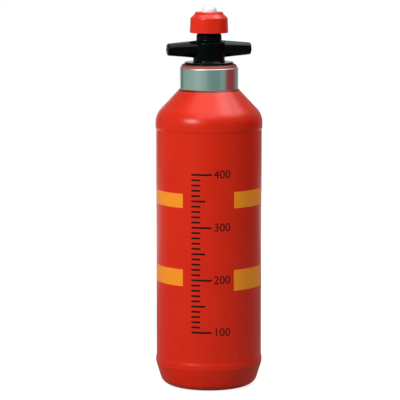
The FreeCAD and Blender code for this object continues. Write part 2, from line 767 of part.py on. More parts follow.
def make_return_spring(draft):
    """The open-coiled compression spring on the bush, one unbroken wire."""
    radius = draft.value(size("spring_radius"))
    wire_radius = draft.value(size("spring_wire_radius"))
    turns = draft.value(size("spring_turns"))
    clear = draft.value(size("face_gap"))
    length = draft.value(size("spring_length"))
    foot = wire_radius + clear
    pitch = (length - 2 * foot) / turns
    quarter = math.pi / 2
    angles = [index * quarter for index in range(int(turns * 4) + 1)]
    stations = [helix_point(radius, pitch, foot, angle) for angle in angles]
    edges = []
    for (start, leaving), (end, arriving) in zip(stations, stations[1:]):
        edges += biarc(start, leaving, end, arriving)
    path = Part.Wire(edges)
    section = Part.Wire(Part.Circle(stations[0][0], stations[0][1], wire_radius).toShape())
    shape = path.makePipeShell([section], True, False)
    spring = draft.doc.addObject("Part::Feature", "ReturnSpring")
    spring.Shape = shape
    draft.place(spring, "return_spring", total(VALVE_BASE, BUSH_TOP))

    count = SPRING_POINTS * len(angles)
    points = path.discretize(Number=count)
    turn_apart = int(count / (2 * turns))
    nearest = min(
        (first - second).Length
        for index, first in enumerate(points)
        for second in points[index + turn_apart:]
    )
    print(f"return_spring: least gap between turns {nearest - 2 * wire_radius:.2f} mm")


def finish(draft):
    """Recompute, check every object and sub-part, and write one STEP file for each sub-part."""
    draft.doc.recompute()
    for item in draft.doc.Objects:
        if "Invalid" in item.State or "Error" in item.State:
            raise RuntimeError(f"{item.Label} failed: {item.State}")
    os.makedirs("parts", exist_ok=True)
    for part in draft.parts:
        shape = part.Shape
        if shape.isNull() or not shape.isValid():
            raise RuntimeError(f"{part.Label} has no valid shape")
        box = shape.BoundBox
        print(f"{part.Label}: {len(shape.Solids)} solid, {shape.Volume:.1f} mm3, "
              f"z {box.ZMin:.2f} to {box.ZMax:.2f}, x {box.XMin:.2f} to {box.XMax:.2f}")
    for part in draft.parts:
        part.Shape.exportStep(os.path.join("parts", f"{part.Label}.step"))


def main():
    """Draw the whole bottle."""
    draft = Draft(SIZES)
    make_bottle_shell(draft)
    make_neck_band(draft)
    make_cap_gasket(draft)
    make_valve_body(draft)
    make_stem_o_ring(draft)
    make_guide_bush(draft)
    make_valve_stem(draft)
    make_seal(draft)
    make_return_spring(draft)
    make_spring_washer(draft)
    make_lock_knob(draft)
    finish(draft)


main()
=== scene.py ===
"""Dress the camping fuel bottle: finishes, printed fill scale, wound spring, studio light and camera."""
import logging
import math
from dataclasses import dataclass
from enum import Enum
from typing import Any

import bmesh
import bpy
from mathutils import Matrix, Vector


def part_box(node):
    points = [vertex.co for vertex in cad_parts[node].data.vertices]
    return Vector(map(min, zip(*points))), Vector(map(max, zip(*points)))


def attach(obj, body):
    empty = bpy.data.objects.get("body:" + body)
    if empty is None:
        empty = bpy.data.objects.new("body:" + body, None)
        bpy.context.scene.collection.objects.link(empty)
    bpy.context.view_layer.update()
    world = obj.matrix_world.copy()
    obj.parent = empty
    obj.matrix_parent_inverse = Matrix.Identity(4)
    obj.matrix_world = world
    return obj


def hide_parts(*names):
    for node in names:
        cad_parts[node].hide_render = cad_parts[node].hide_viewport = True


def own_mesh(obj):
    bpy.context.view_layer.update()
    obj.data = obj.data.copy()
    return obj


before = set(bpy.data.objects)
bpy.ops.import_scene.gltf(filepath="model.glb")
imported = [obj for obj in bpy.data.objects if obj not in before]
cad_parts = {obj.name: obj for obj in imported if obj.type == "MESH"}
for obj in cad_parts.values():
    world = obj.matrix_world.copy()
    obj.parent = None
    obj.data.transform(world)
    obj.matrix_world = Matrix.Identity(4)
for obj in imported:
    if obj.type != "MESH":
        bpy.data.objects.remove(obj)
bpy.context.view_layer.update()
LOG = logging.getLogger("fuel_bottle")
MM = 0.001
LITRES_PER_ML = 0.001
CREASE = math.radians(40)
QUARTER_TURN = 90.0
WHITE = (1.0, 1.0, 1.0, 1.0)

# The curve from sRGB to linear light
SRGB_KNEE = 0.04045
SRGB_SLOPE = 12.92
SRGB_OFFSET = 0.055
SRGB_POWER = 2.4

# The colour sockets of a Mix node, by number because their names repeat
MIX_SHARE = 0
MIX_FIRST = 6
MIX_SECOND = 7
MIX_RESULT = 2


class Body(Enum):
    """The CAD bodies that pieces ride on."""

    BOTTLE = "bottle"
    VALVE_CAP = "valve_cap"
    STEM = "stem"


class Slot(Enum):
    """The record's finish slots."""

    STEEL = "steel_bright"


def linear(hex_colour: str) -> tuple[float, float, float, float]:
    """Turn an sRGB hex colour to linear light.

    Args:
        hex_colour: Six hex digits, with or without a leading mark.

    Returns:
        Red, green, blue and a full alpha.
    """
    digits = hex_colour.lstrip("#")
    channels = [int(digits[start:start + 2], 16) / 255 for start in (0, 2, 4)]
    red, green, blue = (
        level / SRGB_SLOPE if level <= SRGB_KNEE
        else ((level + SRGB_OFFSET) / (1 + SRGB_OFFSET)) ** SRGB_POWER
        for level in channels)
    return red, green, blue, 1.0


def spacing(size_mm: float) -> float:
    """Give the texture scale at which a pattern repeats about every size_mm."""
    return 1 / (size_mm * MM)


def toward(azimuth: float, elevation: float) -> Vector:
    """Give the direction from the bottle to something round it.

    Args:
        azimuth: Degrees from the front, positive to the right.
        elevation: Degrees above the level.

    Returns:
        The direction, of length 1.
    """
    turn = math.radians(azimuth)
    rise = math.radians(elevation)
    return Vector((math.sin(turn) * math.cos(rise), -math.cos(turn) * math.cos(rise), math.sin(rise)))


def add_node(tree: bpy.types.NodeTree, kind: str, settings: dict[str, Any] | None = None,
             inputs: dict[str | int, Any] | None = None) -> bpy.types.Node:
    """Add a node with its settings, and fill or link its inputs.

    Args:
        tree: The node tree to add to.
        kind: The node's type without its ShaderNode prefix.
        settings: Values of the node's own properties.
        inputs: Values for its input sockets, or output sockets to link to them.

    Returns:
        The new node.
    """
    node = tree.nodes.new("ShaderNode" + kind)
    for key, value in (settings or {}).items():
        setattr(node, key, value)
    for key, value in (inputs or {}).items():
        if isinstance(value, bpy.types.NodeSocket):
            tree.links.new(value, node.inputs[key])
        else:
            node.inputs[key].default_value = value
    return node


def blank_material(name: str) -> tuple[bpy.types.Material, bpy.types.NodeTree]:
    """Make an empty node material.

    Args:
        name: The material's name.

    Returns:
        The material and its node tree.
    """
    material = bpy.data.materials.new(name)
    material.use_nodes = True
    material.node_tree.nodes.clear()
    return material, material.node_tree


@dataclass(frozen=True)
class Finish:
    """What a surface is made of, and the two colours that it varies between.

    In the kinds of finish below, a span is the stretch of a noise's values that is in use, and detail
    and breakup are the number and the weight of its finer layers.
    """

    name: str
    colour: str
    second_colour: str

    def material(self) -> bpy.types.Material:
        """Build the node material.

        Returns:
            The finished material.
        """
        material, tree = blank_material(self.name)
        place = add_node(tree, "TexCoord").outputs["Object"]
        shader = add_node(tree, "BsdfPrincipled", inputs=self.surface(tree, place))
        add_node(tree, "OutputMaterial", inputs={"Surface": shader.outputs["BSDF"]})
        return material

    def surface(self, tree: bpy.types.NodeTree, place: bpy.types.NodeSocket) -> dict[str | int, Any]:
        """Give the shader's inputs, which each kind of finish has its own way to make.

        Args:
            tree: The material's node tree.
            place: The point on the object.

        Returns:
            Values and output sockets by the name of the shader's input.
        """
        raise NotImplementedError

    def two_tone(self, tree: bpy.types.NodeTree, pattern: bpy.types.NodeSocket,
                 span: tuple[float, float]) -> bpy.types.NodeSocket:
        """Run from the second colour to the first over a pattern.

        Args:
            tree: The material's node tree.
            pattern: The pattern's value at the point.
            span: The values at which the run starts and ends.

        Returns:
            The colour.
        """
        tone = add_node(tree, "ValToRGB", inputs={"Fac": pattern})
        colours = (self.second_colour, self.colour)
        for stop, position, colour in zip(tone.color_ramp.elements, span, colours):
            stop.position = position
            stop.color = linear(colour)
        return tone.outputs["Color"]


@dataclass(frozen=True)
class MouldedPlastic(Finish):
    """Pigmented plastic out of a polished mould.

    The pigment flows a little unevenly, and the wall cools a little wavy under a fine peel.
    """

    roughness: tuple[float, float]
    ior: float
    specular: float
    flow_mm: float
    wave_mm: float
    wave_depth_mm: float
    peel_mm: float
    peel_depth_mm: float
    flow_span: tuple[float, float] = (0.3, 0.7)
    flow_detail: float = 3.0
    flow_breakup: float = 0.55
    wave_detail: float = 1.0
    peel_detail: float = 2.0

    def surface(self, tree: bpy.types.NodeTree, place: bpy.types.NodeSocket) -> dict[str | int, Any]:
        """Give the shader's inputs for the pigment and the skin.

        Args:
            tree: The material's node tree.
            place: The point on the object.

        Returns:
            Values and output sockets by the name of the shader's input.
        """
        colour, roughness = self.pigment(tree, place)
        return {"Base Color": colour, "Roughness": roughness, "IOR": self.ior,
                "Specular IOR Level": self.specular, "Normal": self.skin(tree, place)}

    def pigment(self, tree: bpy.types.NodeTree, place: bpy.types.NodeSocket) -> tuple[
            bpy.types.NodeSocket, bpy.types.NodeSocket]:
        """Lay the flow of the pigment.

        Args:
            tree: The material's node tree.
            place: The point on the object.

        Returns:
            The colour and the roughness.
        """
        flow = add_node(tree, "TexNoise", inputs={
            "Vector": place, "Scale": spacing(self.flow_mm), "Detail": self.flow_detail,
            "Roughness": self.flow_breakup}).outputs["Fac"]
        gloss = add_node(tree, "MapRange", inputs={
            "Value": flow, "From Min": self.flow_span[0], "From Max": self.flow_span[1],
            "To Min": self.roughness[0], "To Max": self.roughness[1]})
        return self.two_tone(tree, flow, self.flow_span), gloss.outputs["Result"]

    def skin(self, tree: bpy.types.NodeTree, place: bpy.types.NodeSocket) -> bpy.types.NodeSocket:
        """Give the normal of the cooled wall.

        Args:
            tree: The material's node tree.
            place: The point on the object.

        Returns:
            The normal.
        """
        wave = add_node(tree, "TexNoise", inputs={
            "Vector": place, "Scale": spacing(self.wave_mm), "Detail": self.wave_detail})
        peel = add_node(tree, "TexNoise", inputs={
            "Vector": place, "Scale": spacing(self.peel_mm), "Detail": self.peel_detail})
        wavy = add_node(tree, "Bump", inputs={
            "Strength": 1.0, "Distance": self.wave_depth_mm * MM, "Height": wave.outputs["Fac"]})
        fine = add_node(tree, "Bump", inputs={
            "Strength": 1.0, "Distance": self.peel_depth_mm * MM, "Height": peel.outputs["Fac"],
            "Normal": wavy.outputs["Normal"]})
        return fine.outputs["Normal"]


@dataclass(frozen=True)
class BlownShell(MouldedPlastic):
    """Blow-moulded plastic: parting seam, rims rubbed in use, trimmed dull lip, and painted shade in the
    corners under the band and the flange.
    """

    seam_azimuth: float = 19.0
    seam_mm: float = 0.6
    seam_depth_mm: float = 0.07
    rims_mm: tuple[float, float] = (15.6, 165.0)
    rub_reach_mm: float = 3.0
    rub_grain_mm: float = 1.4
    rub_detail: float = 4.0
    rub_breakup: float = 0.65
    rub_span: tuple[float, float] = (0.58, 0.80)
    rub_share: float = 0.4
    rub_colour: str = "#dc4430"
    rub_dulling: float = 0.16
    # Painted shade: a dark colour laid in the corners under the band and under the flange, where shade
    # falls.
    corners_mm: tuple[float, float] = (185.2, 200.85)
    corner_reach_mm: float = 0.5
    grime_colour: str = "#561a12"
    lip_mm: tuple[float, float] = (198.6, 199.2)
    lip_colour: str = "#a64e47"

    def pigment(self, tree: bpy.types.NodeTree, place: bpy.types.NodeSocket) -> tuple[
            bpy.types.NodeSocket, bpy.types.NodeSocket]:
        """Lay the pigment, then rub the rims, dull the lip and paint shade into the corners under band and
        flange.

        Args:
            tree: The material's node tree.
            place: The point on the object.

        Returns:
            The colour and the roughness.
        """
        colour, roughness = super().pigment(tree, place)
        height = add_node(tree, "SeparateXYZ", inputs={"Vector": place}).outputs["Z"]
        worn = self.rubbed(tree, place, height)
        lip = add_node(tree, "MapRange", inputs={
            "Value": height, "From Min": self.lip_mm[0] * MM,
            "From Max": self.lip_mm[1] * MM}).outputs["Result"]
        # Painted shade: darkens the shell in the corners under the band and the flange.
        corner = self.near(tree, height, self.corners_mm, self.corner_reach_mm)
        layers = ((worn, self.rub_colour), (lip, self.lip_colour), (corner, self.grime_colour))
        for share, layer_colour in layers:
            colour = add_node(tree, "Mix", {"data_type": "RGBA"}, {
                MIX_SHARE: share, MIX_FIRST: colour,
                MIX_SECOND: linear(layer_colour)}).outputs[MIX_RESULT]
        marks = add_node(tree, "Math", {"operation": "MAXIMUM"}, {0: worn, 1: lip})
        dulled = add_node(tree, "Math", {"operation": "MULTIPLY_ADD"}, {
            0: marks.outputs[0], 1: self.rub_dulling, 2: roughness})
        return colour, dulled.outputs[0]

    def rubbed(self, tree: bpy.types.NodeTree, place: bpy.types.NodeSocket,
               height: bpy.types.NodeSocket) -> bpy.types.NodeSocket:
        """Give how far each point is rubbed, in small patches along the two rims.

        Args:
            tree: The material's node tree.
            place: The point on the object.
            height: The point's height.

        Returns:
            The share that is rubbed.
        """
        rim = self.near(tree, height, self.rims_mm, self.rub_reach_mm)
        grain = add_node(tree, "TexNoise", inputs={
            "Vector": place, "Scale": spacing(self.rub_grain_mm), "Detail": self.rub_detail,
            "Roughness": self.rub_breakup})
        patch = add_node(tree, "MapRange", inputs={
            "Value": grain.outputs["Fac"], "From Min": self.rub_span[0], "From Max": self.rub_span[1],
            "To Max": self.rub_share})
        share = add_node(tree, "Math", {"operation": "MULTIPLY"}, {0: rim, 1: patch.outputs["Result"]})
        return share.outputs[0]

    @staticmethod
    def near(tree: bpy.types.NodeTree, height: bpy.types.NodeSocket, levels_mm: tuple[float, ...],
             reach_mm: float) -> bpy.types.NodeSocket:
        """Give 1 where a point is near one of some heights, and 0 elsewhere.

        Args:
            tree: The material's node tree.
            height: The point's height.
            levels_mm: The heights to be near to.
            reach_mm: How near counts.

        Returns:
            The output socket.
        """
        nearest = None
        for level in levels_mm:
            ring = add_node(tree, "Math", {"operation": "COMPARE"}, {
                0: height, 1: level * MM, 2: reach_mm * MM}).outputs[0]
            nearest = ring if nearest is None else add_node(
                tree, "Math", {"operation": "MAXIMUM"}, {0: nearest, 1: ring}).outputs[0]
        return nearest

    def skin(self, tree: bpy.types.NodeTree, place: bpy.types.NodeSocket) -> bpy.types.NodeSocket:
        """Raise the parting seam on the cooled wall.

        Args:
            tree: The material's node tree.
            place: The point on the object.

        Returns:
            The normal.
        """
        turn = math.radians(self.seam_azimuth)
        off = add_node(tree, "VectorMath", {"operation": "DOT_PRODUCT"}, {
            0: place, 1: (math.cos(turn), math.sin(turn), 0)})
        away = add_node(tree, "Math", {"operation": "ABSOLUTE"}, {0: off.outputs["Value"]})
        ridge = add_node(tree, "MapRange", {"interpolation_type": "SMOOTHSTEP"}, {
            "Value": away.outputs[0], "From Min": 0, "From Max": 0.5 * self.seam_mm * MM,
            "To Min": 1.0, "To Max": 0.0})
        seam = add_node(tree, "Bump", inputs={
            "Strength": 1.0, "Distance": self.seam_depth_mm * MM, "Height": ridge.outputs["Result"],
            "Normal": super().skin(tree, place)})
        return seam.outputs["Normal"]


@dataclass(frozen=True)
class TurnedMetal(Finish):
    """Metal with fine marks that run round the axis, as turning, rolling or drawing leave them."""

    roughness: tuple[float, float]
    mark_mm: float
    mark_depth_mm: float
    cloud_mm: float
    mark_span: tuple[float, float] = (0.3, 0.7)
    mark_detail: float = 3.0
    mark_breakup: float = 0.6
    cloud_span: tuple[float, float] = (0.35, 0.65)
    cloud_detail: float = 4.0
    cloud_breakup: float = 0.6

    def surface(self, tree: bpy.types.NodeTree, place: bpy.types.NodeSocket) -> dict[str | int, Any]:
        """Give the shader's inputs for bare metal with marks.

        Args:
            tree: The material's node tree.
            place: The point on the object.

        Returns:
            Values and output sockets by the name of the shader's input.
        """
        height = add_node(tree, "SeparateXYZ", inputs={"Vector": place}).outputs["Z"]
        marks = add_node(tree, "TexNoise", {"noise_dimensions": "1D"}, {
            "W": height, "Scale": spacing(self.mark_mm), "Detail": self.mark_detail,
            "Roughness": self.mark_breakup}).outputs["Fac"]
        groove = add_node(tree, "Bump", inputs={
            "Strength": 1.0, "Distance": self.mark_depth_mm * MM, "Height": marks})
        return {"Base Color": self.tone(tree, place, height), "Metallic": 1.0,
                "Roughness": self.satin(tree, marks, height), "Normal": groove.outputs["Normal"]}

    def tone(self, tree: bpy.types.NodeTree, place: bpy.types.NodeSocket,
             height: bpy.types.NodeSocket) -> bpy.types.NodeSocket:
        """Cloud the colour a little, as handling does.

        Args:
            tree: The material's node tree.
            place: The point on the object.
            height: The point's height; not used here, only by a finish that changes with it.

        Returns:
            The colour.
        """
        cloud = add_node(tree, "TexNoise", inputs={
            "Vector": place, "Scale": spacing(self.cloud_mm), "Detail": self.cloud_detail,
            "Roughness": self.cloud_breakup})
        return self.two_tone(tree, cloud.outputs["Fac"], self.cloud_span)

    def satin(self, tree: bpy.types.NodeTree, marks: bpy.types.NodeSocket,
              height: bpy.types.NodeSocket) -> bpy.types.NodeSocket:
        """Vary the gloss with the marks.

        Args:
            tree: The material's node tree.
            marks: The pattern of the marks.
            height: The point's height; not used here, only by a finish that changes with it.

        Returns:
            The roughness.
        """
        gloss = add_node(tree, "MapRange", inputs={
            "Value": marks, "From Min": self.mark_span[0], "From Max": self.mark_span[1],
            "To Min": self.roughness[0], "To Max": self.roughness[1]})
        return gloss.outputs["Result"]


@dataclass(frozen=True)
class RolledBand(TurnedMetal):
    """A turned sleeve whose rolled top edge is duller than its wall, with a darker pink on it as a painted
    reflection of the red lip.
    """

    edge_mm: tuple[float, float] = (198.35, 198.6)
    # Painted reflection: the darker pink edge colour stands in for the red lip mirrored in the rolled edge.
    edge_colour: str = "#c6aca7"
    edge_dulling: float = 0.22

    def tone(self, tree: bpy.types.NodeTree, place: bpy.types.NodeSocket,
             height: bpy.types.NodeSocket) -> bpy.types.NodeSocket:
        """Paint the rolled edge a darker pink, a painted reflection of the red lip.

        Args:
            tree: The material's node tree.
            place: The point on the object.
            height: The point's height.

        Returns:
            The colour.
        """
        reflection_painted = add_node(tree, "Mix", {"data_type": "RGBA"}, {
            MIX_SHARE: self.rolled(tree, height), MIX_FIRST: super().tone(tree, place, height),
            MIX_SECOND: linear(self.edge_colour)})
        return reflection_painted.outputs[MIX_RESULT]

    def satin(self, tree: bpy.types.NodeTree, marks: bpy.types.NodeSocket,
              height: bpy.types.NodeSocket) -> bpy.types.NodeSocket:
        """Dull the rolled edge.

        Args:
            tree: The material's node tree.
            marks: The pattern of the marks.
            height: The point's height.

        Returns:
            The roughness.
        """
        dulled = add_node(tree, "Math", {"operation": "MULTIPLY_ADD"}, {
            0: self.rolled(tree, height), 1: self.edge_dulling, 2: super().satin(tree, marks, height)})
        return dulled.outputs[0]

    def rolled(self, tree: bpy.types.NodeTree, height: bpy.types.NodeSocket) -> bpy.types.NodeSocket:
        """Give 1 on the rolled edge and 0 on the wall.

        Args:
            tree: The material's node tree.
            height: The point's height.

        Returns:
            The share that is edge.
        """
        edge = add_node(tree, "MapRange", inputs={
            "Value": height, "From Min": self.edge_mm[0] * MM, "From Max": self.edge_mm[1] * MM})
        return edge.outputs["Result"]


@dataclass(frozen=True)
class ScreenInk(Finish):
    """Ink pressed through a screen: flat, a little matt, with a faint grain of the screen's threads."""

    roughness: float
    specular: float
    thread_mm: float
    film_span: tuple[float, float] = (0.3, 0.6)
    film_detail: float = 4.0
    film_breakup: float = 0.7

    def surface(self, tree: bpy.types.NodeTree, place: bpy.types.NodeSocket) -> dict[str | int, Any]:
        """Give the shader's inputs for a film that is thinner over the threads.

        Args:
            tree: The material's node tree.
            place: The point on the object.

        Returns:
            Values and output sockets by the name of the shader's input.
        """
        grain = add_node(tree, "TexNoise", inputs={
            "Vector": place, "Scale": spacing(self.thread_mm), "Detail": self.film_detail,
            "Roughness": self.film_breakup})
        return {"Base Color": self.two_tone(tree, grain.outputs["Fac"], self.film_span),
                "Roughness": self.roughness, "Specular IOR Level": self.specular}


# Red polyethylene, blow-moulded: a broad soft sheen on a slightly wavy wall.
BLOWN_POLYETHYLENE = BlownShell(
    "polyethylene_red_blow_moulded", colour="#db2305", second_colour="#d51f04",
    roughness=(0.28, 0.33), ior=1.51, specular=0.23,
    flow_mm=26, wave_mm=22, wave_depth_mm=0.04, peel_mm=1.6, peel_depth_mm=0.003)

# Red polypropylene, injection-moulded: a brighter, tighter gloss than the blown wall.
GLOSS_POLYPROPYLENE = MouldedPlastic(
    "polypropylene_red_injection_moulded", colour="#e3290f", second_colour="#dc240d",
    roughness=(0.20, 0.26), ior=1.49, specular=0.25,
    flow_mm=9, wave_mm=7, wave_depth_mm=0.006, peel_mm=0.9, peel_depth_mm=0.0005)

# Black nylon, injection-moulded: near-black, with small hard highlights.
GLOSS_NYLON = MouldedPlastic(
    "nylon_black_injection_moulded", colour="#040506", second_colour="#020303",
    roughness=(0.11, 0.16), ior=1.53, specular=0.08,
    flow_mm=8, wave_mm=6, wave_depth_mm=0.005, peel_mm=0.8, peel_depth_mm=0.001)

# White acetal, injection-moulded: dense white with a waxy sheen.
WHITE_ACETAL = MouldedPlastic(
    "acetal_white_injection_moulded", colour="#ebeaec", second_colour="#e5e4e7",
    roughness=(0.29, 0.36), ior=1.48, specular=0.4,
    flow_mm=6, wave_mm=5, wave_depth_mm=0.005, peel_mm=0.7, peel_depth_mm=0.0004)

# Natural nylon, injection-moulded: cloudy off-white and dull.
NATURAL_NYLON = MouldedPlastic(
    "nylon_natural_injection_moulded", colour="#dcd6c4", second_colour="#d2cab5",
    roughness=(0.45, 0.55), ior=1.53, specular=0.5,
    flow_mm=4, wave_mm=5, wave_depth_mm=0.004, peel_mm=0.5, peel_depth_mm=0.002)

# Nitrile rubber, compression-moulded: dull black that shows a fine grain.
NITRILE_RUBBER = MouldedPlastic(
    "nitrile_rubber_black_moulded", colour="#161616", second_colour="#101010",
    roughness=(0.62, 0.74), ior=1.52, specular=0.4,
    flow_mm=3, wave_mm=4, wave_depth_mm=0.005, peel_mm=0.35, peel_depth_mm=0.006)

# Aluminium tube, turned: satin, with fine marks round the axis drawn coarse enough to show.
TURNED_ALUMINIUM = RolledBand(
    "aluminium_satin_turned", colour="#eef2f0", second_colour="#e6ebe8",
    roughness=(0.18, 0.22), mark_mm=0.9, mark_depth_mm=0.0003, cloud_mm=14)

# Stainless steel, bright drawn: small clean reflections with light drawing marks.
DRAWN_STEEL = TurnedMetal(
    "stainless_steel_bright_drawn", colour="#c9c7c2", second_colour="#bebbb5",
    roughness=(0.18, 0.26), mark_mm=0.2, mark_depth_mm=0.0004, cloud_mm=3)

# Black ink, screen-printed: solid and a little matt, its thread grain drawn coarse enough to show.
BLACK_INK = ScreenInk(
    "screen_ink_black", colour="#0d0606", second_colour="#1a0807",
    roughness=0.42, specular=0.15, thread_mm=0.5)

# Orange ink, screen-printed: warm and opaque over the red wall, with the same coarse thread grain.
ORANGE_INK = ScreenInk(
    "screen_ink_orange", colour="#fb9220", second_colour="#f5871a",
    roughness=0.42, specular=0.2, thread_mm=0.8)


def dress(node: str, material: bpy.types.Material) -> None:
    """Give a CAD node one material in place of those it came with.

    Args:
        node: The node's name.
        material: The material to show.
    """
    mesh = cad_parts[node].data
    mesh.materials.clear()
    mesh.materials.append(material)
    LOG.info("dressed %s in %s", node, material.name)


def piece_from(name: str, form: bmesh.types.BMesh, material: bpy.types.Material,
               body: Body) -> bpy.types.Object:
    """Turn a bmesh into a shown piece that rides on a body.

    Args:
        name: The piece's name.
        form: The geometry, in metres in the CAD frame; it is freed.
        material: The piece's material.
        body: The body it moves with.

    Returns:
        The new object.
    """
    for edge in form.edges:
        edge.smooth = edge.calc_face_angle(0) < CREASE
    mesh = bpy.data.meshes.new(name)
    form.to_mesh(mesh)
    form.free()
    mesh.materials.append(material)
    mesh.polygons.foreach_set("use_smooth", [True] * len(mesh.polygons))
    piece = bpy.data.objects.new(name, mesh)
    bpy.context.scene.collection.objects.link(piece)
    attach(piece, body.value)
    LOG.info("built %s: %d faces on %s", name, len(mesh.polygons), body.value)
    return piece


@dataclass(frozen=True)
class PrintedPanel:
    """One plain printed panel: the azimuths of its sides, and the heights of its edges."""

    name: str
    start: float
    end: float
    low_mm: float
    high_mm: float


@dataclass
class PrintedShell:
    """The blown red shell with the band round its neck and the plain print on its panel.

    A litre fills litre_mm of the inside, from floor_mm up. Azimuths are in degrees from the front.
    """

    panel_radius_mm: float = 32.85
    ink_mm: float = 0.045
    ink_lift_mm: float = 0.005
    strip_mm: float = 0.8
    weld_mm: float = 0.002
    scale_azimuth: float = -14.0
    scale_shift_mm: float = 10.25
    litre_mm: float = 326.0
    floor_mm: float = 5.4
    full_scale_ml: int = 400
    lowest_ml: int = 100
    tick_step_ml: int = 10
    half_step_ml: int = 50
    number_step_ml: int = 100
    tick_mm: float = 1.1
    tick_lengths_mm: tuple[float, float, float] = (5.5, 8.5, 12.5)
    numeral_mm: float = 7.2
    numeral_gap_mm: float = 1.2
    numeral_steps: int = 6
    panels: tuple[PrintedPanel, ...] = (
        PrintedPanel("print_panel_upper_right", start=15.0, end=64.0, low_mm=114.8, high_mm=124.9),
        PrintedPanel("print_panel_lower_right", start=15.0, end=64.0, low_mm=63.6, high_mm=76.6),
        PrintedPanel("print_panel_upper_left", start=-93.0, end=-42.0, low_mm=115.0, high_mm=123.7),
        PrintedPanel("print_panel_lower_left", start=-93.0, end=-42.0, low_mm=66.4, high_mm=76.9),
    )

    def build(self) -> None:
        """Dress the shell and its band, and lay the print on it."""
        dress("bottle_shell", BLOWN_POLYETHYLENE.material())
        dress("neck_band", TURNED_ALUMINIUM.material())
        self.print_panels()
        self.print_scale()

    def lay(self, form: bmesh.types.BMesh, azimuth: float) -> None:
        """Turn flat print into a thin closed film of ink round the panel.

        Args:
            form: Flat geometry with x along the wall and y as height, in metres.
            azimuth: Where x = 0 goes, in degrees from the front.
        """
        self.slice_up(form)
        film = bmesh.ops.extrude_face_region(form, geom=form.faces[:], use_keep_orig=True)
        raised = [item for item in film["geom"] if isinstance(item, bmesh.types.BMVert)]
        bmesh.ops.translate(form, verts=raised, vec=(0, 0, self.ink_mm * MM))
        bmesh.ops.recalc_face_normals(form, faces=form.faces)
        foot = (self.panel_radius_mm + self.ink_lift_mm) * MM
        for vert in form.verts:
            angle = math.radians(azimuth) + vert.co.x / foot
            radius = foot + vert.co.z
            vert.co = Vector((radius * math.sin(angle), -radius * math.cos(angle), vert.co.y))

    def slice_up(self, form: bmesh.types.BMesh) -> None:
        """Cut flat geometry into upright strips, so that it bends smoothly.

        Args:
            form: Flat geometry with x along the wall and y as height, in metres.
        """
        weld = self.weld_mm * MM
        step = self.strip_mm * MM
        bmesh.ops.remove_doubles(form, verts=form.verts, dist=weld)
        lowest = min(vert.co.x for vert in form.verts)
        highest = max(vert.co.x for vert in form.verts)
        for index in range(1, math.ceil((highest - lowest) / step)):
            bmesh.ops.bisect_plane(
                form, geom=form.verts[:] + form.edges[:] + form.faces[:], dist=weld,
                plane_co=(lowest + index * step, 0, 0), plane_no=(1, 0, 0))
        bmesh.ops.dissolve_degenerate(form, edges=form.edges, dist=weld)

    def add_block(self, form: bmesh.types.BMesh, left: float, right: float,
                  low: float, high: float) -> None:
        """Add one flat printed rectangle, its sides in millimetres."""
        corners = ((left, low), (right, low), (right, high), (left, high))
        form.faces.new([form.verts.new((x * MM, y * MM, 0)) for x, y in corners])

    def print_panels(self) -> None:
        """Print the four plain orange panels, two on each side of the scale."""
        material = ORANGE_INK.material()
        for panel in self.panels:
            form = bmesh.new()
            width = math.radians(panel.end - panel.start) * self.panel_radius_mm
            self.add_block(form, 0, width, panel.low_mm, panel.high_mm)
            self.lay(form, panel.start)
            piece_from(panel.name, form, material, Body.BOTTLE)

    def print_scale(self) -> None:
        """Print the fill scale: ticks every ten millilitres and a number at each hundred."""
        form = bmesh.new()
        left = -self.scale_shift_mm
        half_tick = 0.5 * self.tick_mm
        short, middle, long = self.tick_lengths_mm
        for level in range(self.lowest_ml, self.full_scale_ml + 1, self.tick_step_ml):
            height = self.floor_mm + level * self.litre_mm * LITRES_PER_ML
            length = middle if level % self.half_step_ml == 0 else short
            numbered = level % self.number_step_ml == 0
            if numbered:
                length = long
            self.add_block(form, left, left + length, height - half_tick, height + half_tick)
            if numbered:
                self.add_numeral(form, str(level), left + long + self.numeral_gap_mm, height)
        self.lay(form, self.scale_azimuth)
        piece_from("print_fill_scale", form, BLACK_INK.material(), Body.BOTTLE)

    def add_numeral(self, form: bmesh.types.BMesh, text: str, left: float, height: float) -> None:
        """Add a printed number.

        Args:
            form: The flat geometry to add to.
            text: The number.
            left: Its left side, in millimetres.
            height: The height of its middle, in millimetres.
        """
        curve = bpy.data.curves.new("numeral", "FONT")
        curve.body = text
        curve.size = self.numeral_mm * MM
        curve.align_y = "CENTER"
        curve.resolution_u = self.numeral_steps
        source = bpy.data.objects.new("numeral", curve)
        bpy.context.scene.collection.objects.link(source)
        bpy.context.view_layer.update()
        shown = source.evaluated_get(bpy.context.evaluated_depsgraph_get())
        mesh = bpy.data.meshes.new_from_object(shown)
        mesh.transform(Matrix.Translation((left * MM, height * MM, 0)))
        form.from_mesh(mesh)
        bpy.data.objects.remove(source)
        bpy.data.curves.remove(curve)
        bpy.data.meshes.remove(mesh)


